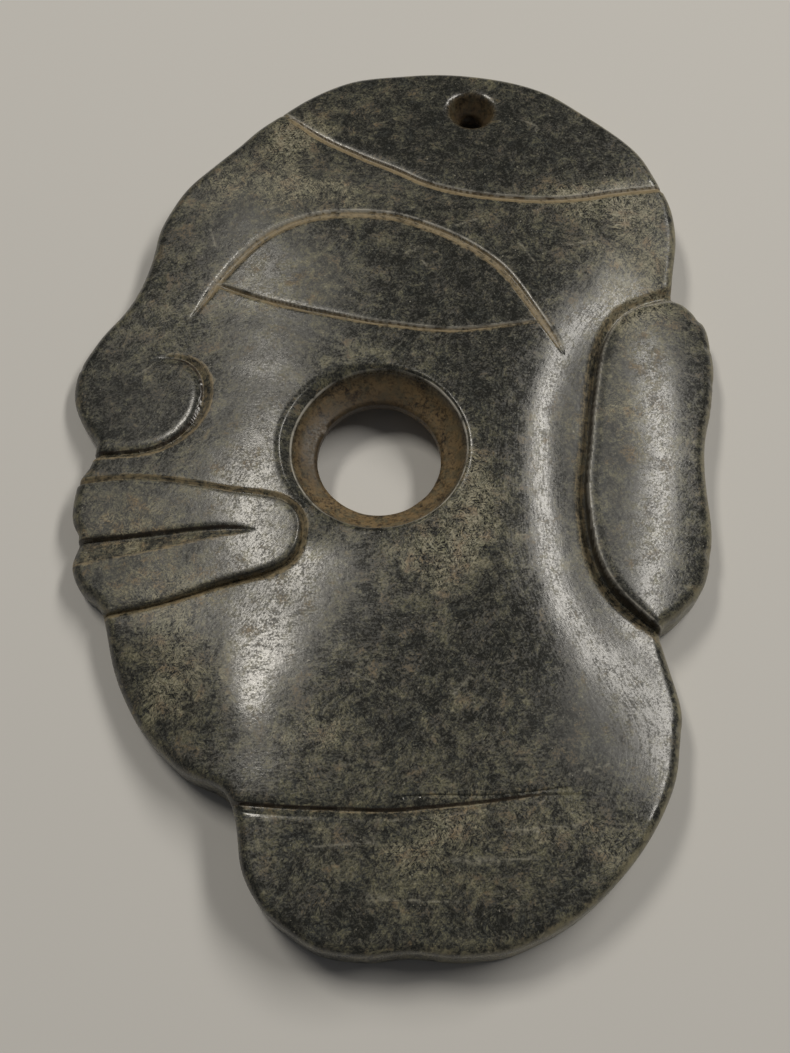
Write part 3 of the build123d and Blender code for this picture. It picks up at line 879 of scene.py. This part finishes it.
def carved_stone():
    """Shape the stone: a grid trimmed to the plan and lifted into relief, with its edges drawn down."""
    bm = bmesh.new()
    half_x = WIDTH / 2 + MARGIN
    half_y = HEIGHT / 2 + MARGIN
    bmesh.ops.create_grid(
        bm, x_segments=int(2 * half_x / GRID), y_segments=int(2 * half_y / GRID), size=1,
        matrix=Matrix.Diagonal((half_x, half_y, 1, 1)),
    )
    faces = list(bm.faces)
    middles = np.array([face.calc_center_median().xy for face in faces])
    inward, _, _, _ = OUTLINE.measure(middles)
    away, _ = polar(middles, HOLE)
    spare = (inward < -MARGIN) | (away < HOLE_MOUTH - MARGIN)
    bmesh.ops.delete(bm, geom=[face for face, out in zip(faces, spare) if out], context="FACES")
    refine(bm)
    align(bm)
    trim(bm)
    at = np.array([vert.co.xy for vert in bm.verts])
    for vert, height in zip(bm.verts, carved_height(at)):
        vert.co.z = height
    outer = lower(bm, boundary(bm), rim_rings())
    middle = lower(bm, boundary(bm, HOLE), hole_rings())
    cord = lower(bm, boundary(bm, CORD), cord_rings())
    bmesh.ops.triangle_fill(bm, edges=outer + middle + cord, use_beauty=True, normal=(0, 0, -1))
    bmesh.ops.recalc_face_normals(bm, faces=list(bm.faces))
    for face in bm.faces:
        face.smooth = True
    for edge in bm.edges:
        edge.smooth = edge.calc_face_angle() < SHARP_TURN
    mesh = bpy.data.meshes.new("carved_stone")
    places = np.array([vert.co for vert in bm.verts])
    bmesh.ops.scale(bm, vec=(0.001, 0.001, 0.001), verts=list(bm.verts))
    bm.to_mesh(mesh)
    bm.free()
    paint(mesh, places)
    stone = bpy.data.objects.new("carved_stone", mesh)
    bpy.context.scene.collection.objects.link(stone)
    return stone


class Wire:
    """A value between shader nodes, so that a finish can be written as a sum."""

    def __init__(self, finish, socket):
        self.finish = finish
        self.socket = socket

    def __add__(self, other):
        return self.finish.math("ADD", self, other)

    def __sub__(self, other):
        return self.finish.math("SUBTRACT", self, other)

    def __rsub__(self, other):
        return self.finish.math("SUBTRACT", other, self)

    def __mul__(self, other):
        return self.finish.math("MULTIPLY", self, other)

    def __abs__(self):
        return self.finish.node("ShaderNodeMath", {"operation": "ABSOLUTE"}, {0: self})

    __radd__ = __add__


class Finish:
    """The nodes of one material."""

    def __init__(self, name):
        self.material = bpy.data.materials.new(name)
        self.material.use_nodes = True
        self.tree = self.material.node_tree
        self.tree.nodes.clear()

    def node(self, kind, settings, sockets, out=0):
        """Make a node, with its settings first and then the values or links of its sockets."""
        made = self.tree.nodes.new(kind)
        for name, value in settings.items():
            setattr(made, name, value)
        for name, value in sockets.items():
            if isinstance(value, Wire):
                self.tree.links.new(value.socket, made.inputs[name])
            else:
                made.inputs[name].default_value = value
        return Wire(self, made.outputs[out] if made.outputs else None)

    def math(self, operation, first, second):
        """Work out one value from two."""
        return self.node("ShaderNodeMath", {"operation": operation}, {0: first, 1: second})

    def vector(self, operation, first, second):
        """Work out one place from two."""
        return self.node("ShaderNodeVectorMath", {"operation": operation}, {0: first, 1: second})

    def highest(self, first, *others):
        """The greatest of several values."""
        for other in others:
            first = self.math("MAXIMUM", first, other)
        return first

    def step(self, value, low, high):
        """Smooth step from 0 to 1 between two values."""
        sockets = {0: value, 1: low, 2: high}
        return self.node("ShaderNodeMapRange", {"interpolation_type": "SMOOTHSTEP"}, sockets)

    def mix(self, first, second, share):
        """Blend two colours."""
        return self.node("ShaderNodeMix", {"data_type": "RGBA"}, {0: share, 6: first, 7: second}, out=2)

    def attribute(self, name, out=2):
        """A value stored at the stone's vertices; its output 1 is a place."""
        return self.node("ShaderNodeAttribute", {"attribute_name": name}, {}, out)

    def noise(self, place, scale, detail=2.0, rough=0.5, distortion=0.0, out=0):
        """Cloudy unevenness about 0.5."""
        sockets = {"Vector": place, "Scale": scale, "Detail": detail}
        sockets.update({"Roughness": rough, "Distortion": distortion})
        return self.node("ShaderNodeTexNoise", {}, sockets, out)

    def bend(self, place, scale, amount):
        """Coordinates pushed about by noise."""
        push = self.vector("SUBTRACT", self.noise(place, scale, 2.0, out=1), (0.5, 0.5, 0.5))
        return self.vector("ADD", place, self.vector("MULTIPLY", push, (amount, amount, amount)))

    def stretch(self, place, sizes, turn=0.0):
        """Coordinates for streaks of these sizes, turned by so many degrees."""
        sockets = {"Vector": place, "Rotation": (0, 0, radians(turn)), "Scale": sizes}
        return self.node("ShaderNodeMapping", {"vector_type": "TEXTURE"}, sockets)

    def streaks(self, place, sizes, turn, detail=2.0, rough=0.6):
        """Noise drawn out into streaks of these sizes."""
        return self.noise(self.stretch(place, sizes, turn), 1.0, detail, rough)

    def strands(self, place):
        """Short thin fibres that lie in three directions."""
        lays = [((0.75, 0.11, 0.5), 8), ((0.65, 0.10, 0.5), 62), ((0.70, 0.11, 0.5), 124)]
        return self.highest(*[self.streaks(place, sizes, turn, 1.0, 0.5) for sizes, turn in lays])

    def threads(self, place, scale):
        """Thin tangled threads: 1 along the lines where a noise passes its middle."""
        return 1 - abs((self.noise(place, scale, 2.0, 0.55, 0.6) - 0.5) * 9.0)

    def surface(self, sockets):
        """Finish the material with one shader."""
        shader = self.node("ShaderNodeBsdfPrincipled", {}, sockets)
        self.node("ShaderNodeOutputMaterial", {}, {"Surface": shader})


# Colours of the stone, from its darkest to its palest, then of the painted glint on edges, of dust, of dirt
# and painted shade, and of the stain in the holes
INK = (0.0175, 0.0180, 0.0150, 1)
SLATE = (0.052, 0.0525, 0.045, 1)
STEEL = (0.050, 0.055, 0.056, 1)
MOSS = (0.120, 0.115, 0.074, 1)
EARTH = (0.152, 0.110, 0.060, 1)
TAN = (0.315, 0.282, 0.178, 1)
OLIVE = (0.235, 0.235, 0.150, 1)
AMBER = (0.255, 0.160, 0.070, 1)
PALE = (0.42, 0.40, 0.33, 1)
GLINT = (0.66, 0.63, 0.56, 1)
DUST = (0.310, 0.240, 0.135, 1)
UMBER = (0.022, 0.014, 0.008, 1)
RUST = (0.260, 0.180, 0.086, 1)


# Height in metres of the finest unevenness of the polish
GRAIN_HEIGHT = 0.000007


def jade():
    """Dark mottled jade: slate-grey stone, olive and tan clouds, flecks and streaks, dust in the carving."""
    stone = Finish("jade")
    metres = stone.node("ShaderNodeTexCoord", {}, {}, out=3)
    place = stone.node("ShaderNodeVectorMath", {"operation": "SCALE"}, {0: metres, "Scale": 1000.0})
    bent = stone.bend(stone.bend(place, 0.3, 2.0), 1.3, 0.45)
    bowed = stone.bend(place, 0.35, 1.8)

    # Unevenness from the widest to the finest, and where the stone is warmer and cooler
    drift = stone.noise(place, 0.16, 4.0, 0.6)
    tone = stone.noise(bent, 0.55, 3.0, 0.65)
    patches = stone.noise(bent, 0.65, 4.0, 0.68)
    grain = stone.noise(bent, 1.9, 4.0, 0.7)
    grit = stone.noise(place, 4.2, 3.0, 0.7)
    points = stone.noise(place, 4.6, 1.0, 0.5)
    specks = stone.step(stone.noise(place, 3.3, 1.0), 0.74, 0.80)
    warm = stone.step(tone, 0.52, 0.66)
    cool = stone.step(1 - tone, 0.5, 0.66)

    # Streaks that turn slowly over the stone and follow the ridge before the ear
    level_streaks = stone.streaks(bowed, (1.1, 0.15, 0.5), 4)
    slant_streaks = stone.streaks(bowed, (0.9, 0.14, 0.5), 52)
    back_streaks = stone.streaks(bowed, (0.8, 0.13, 0.5), 118)
    beside_ridge = stone.vector("MULTIPLY", stone.attribute("sweep", 1), (6.5, 0.7, 0.7))
    ridge_streaks = stone.noise(beside_ridge, 1.0, 2.0, 0.6)
    turn = stone.step(stone.noise(place, 0.11, 1.0), 0.42, 0.58)
    streaks = level_streaks + (slant_streaks - level_streaks) * turn
    streaks = streaks + (ridge_streaks - streaks) * stone.attribute("by_ridge")
    crossed = stone.highest(level_streaks, slant_streaks, back_streaks)

    # How light the stone is, and where it is fibrous
    # Tan clouds, some of which also lighten the stone as painted sheen where highlights spread
    cloud_and_sheen = stone.attribute("cloud_and_sheen")
    wash = stone.step(cloud_and_sheen * 0.42 + drift * 0.8 + patches * 0.5, 0.38, 1.30)
    fibrous = stone.step(cloud_and_sheen + (drift - 0.5) * 1.5, 0.3, 1.0)
    fibres = stone.strands(bent) - stone.strands(stone.vector("ADD", bent, (31.0, 17.0, 5.0)))
    level = (patches - 0.5) * 2.3 + (grain - 0.5) * 2.0 + (grit - 0.5) * 1.6 + (streaks - 0.5) * 0.45
    level = level + wash * 0.80 + fibres * (fibrous * 6.5 + 2.0)

    # Dark ground, then moss and earth, then flecks
    fleck = stone.mix(stone.mix(TAN, OLIVE, cool * 0.8), AMBER, warm * 0.75)
    colour = stone.mix(INK, stone.mix(SLATE, STEEL, cool * 0.8), stone.step(level, -0.35, 0.36))
    colour = stone.mix(colour, stone.mix(MOSS, EARTH, warm * 0.8), stone.step(level, 0.14, 0.82))
    colour = stone.mix(colour, fleck, stone.step(level, 0.66, 1.75) * 0.95)
    colour = stone.mix(colour, PALE, stone.step(level, 1.55, 2.4) * 0.6)

    # Threads, hairs and points, dark and light
    dark_tangle = stone.step(stone.threads(bowed, 1.0) + (grit - 0.5) * 0.8, 0.62, 1.05)
    dark_points = stone.step(1 - points, 0.58, 0.70) * (wash * 0.2 + 0.1)
    tangle = stone.highest(stone.threads(place, 1.15), stone.threads(bent, 0.85))
    tangle = stone.step(tangle + (grit - 0.5) * 0.8, 0.62, 1.05)
    tangle = tangle * stone.step(grain + wash * 0.25, 0.45, 0.75) * (0.15 + fibrous * 0.5)
    hairs = stone.step(crossed + (grit - 0.5) * 0.5, 0.68, 0.80) * (0.10 + wash * 0.3)
    light_points = stone.step(points, 0.62, 0.72) * (wash * 0.3 + 0.05)
    colour = stone.mix(colour, INK, dark_tangle * 0.45)
    colour = stone.mix(colour, INK, dark_points)
    for paleness, amount in ((0.35, tangle), (0.45, hairs), (0.5, light_points)):
        colour = stone.mix(colour, stone.mix(fleck, PALE, paleness), amount)
    colour = stone.mix(colour, PALE, specks * 0.6)

    # Dust and dirt with painted shade in the carving, stain and painted shade in the holes, wear and painted
    # glints on the edges
    rim = stone.attribute("rim")
    bore = stone.attribute("bore")
    beside_groove = stone.vector("MULTIPLY", stone.attribute("lay", 1), (9.0, 0.7, 0.7))
    lines = stone.noise(beside_groove, 1.0, 3.0, 0.6)
    dusty = stone.step(stone.attribute("dust") + (grain - 0.5) * 1.3 + (lines - 0.5) * 1.1, 0.35, 1.0)
    dirt_and_shade_mask = stone.step(stone.attribute("dirt_and_shade") + (grain - 0.5) * 1.2, 0.3, 0.85)
    rubbed = stone.step(rim + (patches - 0.5) * 1.2 + (grain - 0.5) * 1.2, 0.3, 1.2)
    rusty = stone.step(patches * 1.1 + grain * 0.9 + (grit - 0.5) * 1.2, 0.66, 1.16)
    mossy = stone.step(stone.noise(stone.stretch(place, (0.6, 0.6, 2.5)), 0.8, 3.0, 0.65), 0.48, 0.62)
    stain = stone.mix(stone.mix(UMBER, RUST, rusty), MOSS, mossy * 0.5)
    # Painted shade: the holes' walls darken with depth
    stain = stone.mix(stain, UMBER, stone.attribute("hole_shade") * 0.8)
    colour = stone.mix(colour, TAN, rubbed * 0.7)
    colour = stone.mix(colour, stain, bore)
    colour = stone.mix(colour, DUST, dusty * 0.85)
    # Dark umber on the groove walls: part dirt, part painted shade
    colour = stone.mix(colour, UMBER, dirt_and_shade_mask * 0.9)
    # Painted glint: pale paint along carved edges and the middle hole's inner edge
    colour = stone.mix(colour, GLINT, stone.attribute("painted_glint") * stone.step(patches, 0.3, 0.55) * 0.75)
    colour = stone.mix(colour, PALE, stone.attribute("scratch") * stone.step(grain, 0.35, 0.6) * 0.5)

    # Polish, dull where it is pitted, scuffed or dusty
    relief = stone.noise(place, 3.2, 1.0) + stone.noise(place, 1.1, 1.0) * 0.8 + streaks * 0.5 - specks * 0.3
    pits = stone.noise(place, 5.5, 2.0, 0.6)
    matte = level * 0.4 + (pits - 0.5) * 2.6 + (streaks - 0.5) * 1.6 + (tone - 0.5) * 1.6
    rough = 0.17 + stone.step(matte, -0.3, 0.8) * 0.27 + stone.attribute("scuff") * 0.16
    rough = rough + dusty * 0.2 + bore * 0.25 + rim * 0.12
    normal = stone.node("ShaderNodeBump", {}, {"Strength": 1.0, "Distance": GRAIN_HEIGHT, "Height": relief})
    stone.surface({"Base Color": colour, "Roughness": rough, "Normal": normal, "IOR": 1.62})
    return stone.material


# How far in metres the floor lies below the stone's back, so that the two never share a plane
FLOOR_GAP = 0.00002


def floor():
    """Plain pale floor that the stone lies on."""
    bm = bmesh.new()
    below = Matrix.Translation((0, 0, -FLOOR_GAP))
    bmesh.ops.create_grid(bm, x_segments=1, y_segments=1, size=1.5, matrix=below)
    mesh = bpy.data.meshes.new("floor")
    bm.to_mesh(mesh)
    bm.free()
    pale = Finish("floor_paint")
    pale.surface({"Base Color": (0.74, 0.73, 0.71, 1), "Roughness": 0.8})
    mesh.materials.append(pale.material)
    ground = bpy.data.objects.new("floor", mesh)
    bpy.context.scene.collection.objects.link(ground)


def camera():
    """Camera at the photograph's angle, below the chin and looking down at the front."""
    lens = bpy.data.cameras.new("camera")
    lens.sensor_width = 36
    lens.lens = 47.86
    lens.clip_start = 0.01
    lens.clip_end = 10
    eye = bpy.data.objects.new("camera", lens)
    eye.location = (0.000192, -0.05783, 0.1214)
    eye.rotation_euler = (radians(23.5), 0, 0)
    bpy.context.scene.collection.objects.link(eye)
    bpy.context.scene.camera = eye


def softbox(name, toward, away, size, watts, colour):
    """Rectangular soft light that faces the stone."""
    light = bpy.data.lights.new(name, "AREA")
    light.shape = "RECTANGLE"
    light.size, light.size_y = size
    light.energy = watts
    light.color = colour
    lamp = bpy.data.objects.new(name, light)
    direction = Vector(toward).normalized()
    across = Vector((0, 1, 0)).cross(direction).normalized()
    along = direction.cross(across)
    lamp.location = direction * away
    lamp.rotation_euler = Matrix((across, along, direction)).transposed().to_euler()
    bpy.context.scene.collection.objects.link(lamp)


def studio():
    """Soft light from the left and from the right, with a dim sky between."""
    softbox("left_softbox", (-0.33, 0.355, 0.86), 0.6, (0.09, 0.21), 0.98, (1.0, 0.945, 0.845))
    softbox("right_softbox", (0.53, 0.34, 0.78), 0.6, (0.10, 0.42), 1.55, (1.0, 0.955, 0.875))
    world = bpy.data.worlds.new("studio")
    world.use_nodes = True
    world.node_tree.nodes["Background"].inputs["Color"].default_value = (0.98, 0.98, 1.0, 1)
    world.node_tree.nodes["Background"].inputs["Strength"].default_value = 0.06
    bpy.context.scene.world = world
    bpy.context.scene.view_settings.view_transform = "Standard"


camera()
floor()
studio()
stone = carved_stone()
stone.data.materials.append(jade())
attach(stone, "root")
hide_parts("jade_pendant")
